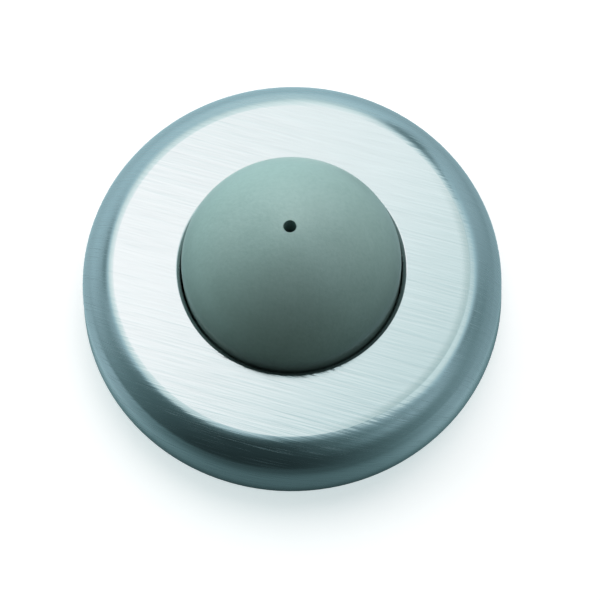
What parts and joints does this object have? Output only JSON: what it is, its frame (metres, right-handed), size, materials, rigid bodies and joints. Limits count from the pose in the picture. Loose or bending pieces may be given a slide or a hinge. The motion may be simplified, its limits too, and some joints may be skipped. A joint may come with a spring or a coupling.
{
  "type": "wall door stop",
  "caption": "Round wall door stop: a domed grey rubber bumper in a satin stamped steel rose, held by a hidden cup with a central screw hole.",
  "frame": {"origin": "on the stop's axis in the plane of the wall", "axes": "+Z from the wall along the axis to the bumper's crown; +X and +Y lie in the wall, with the brushing of the rose close to X"},
  "size_m": [0.0636, 0.0636, 0.0254],
  "materials": {
    "satin_steel": "satin, straight brushed",
    "grey_rubber": "matte moulded",
    "plated_steel": "zinc plated"
  },
  "bodies": {
    "root": {"rose": "satin_steel", "bumper": "grey_rubber", "retainer_cup": "plated_steel"}
  },
  "joints": []
}
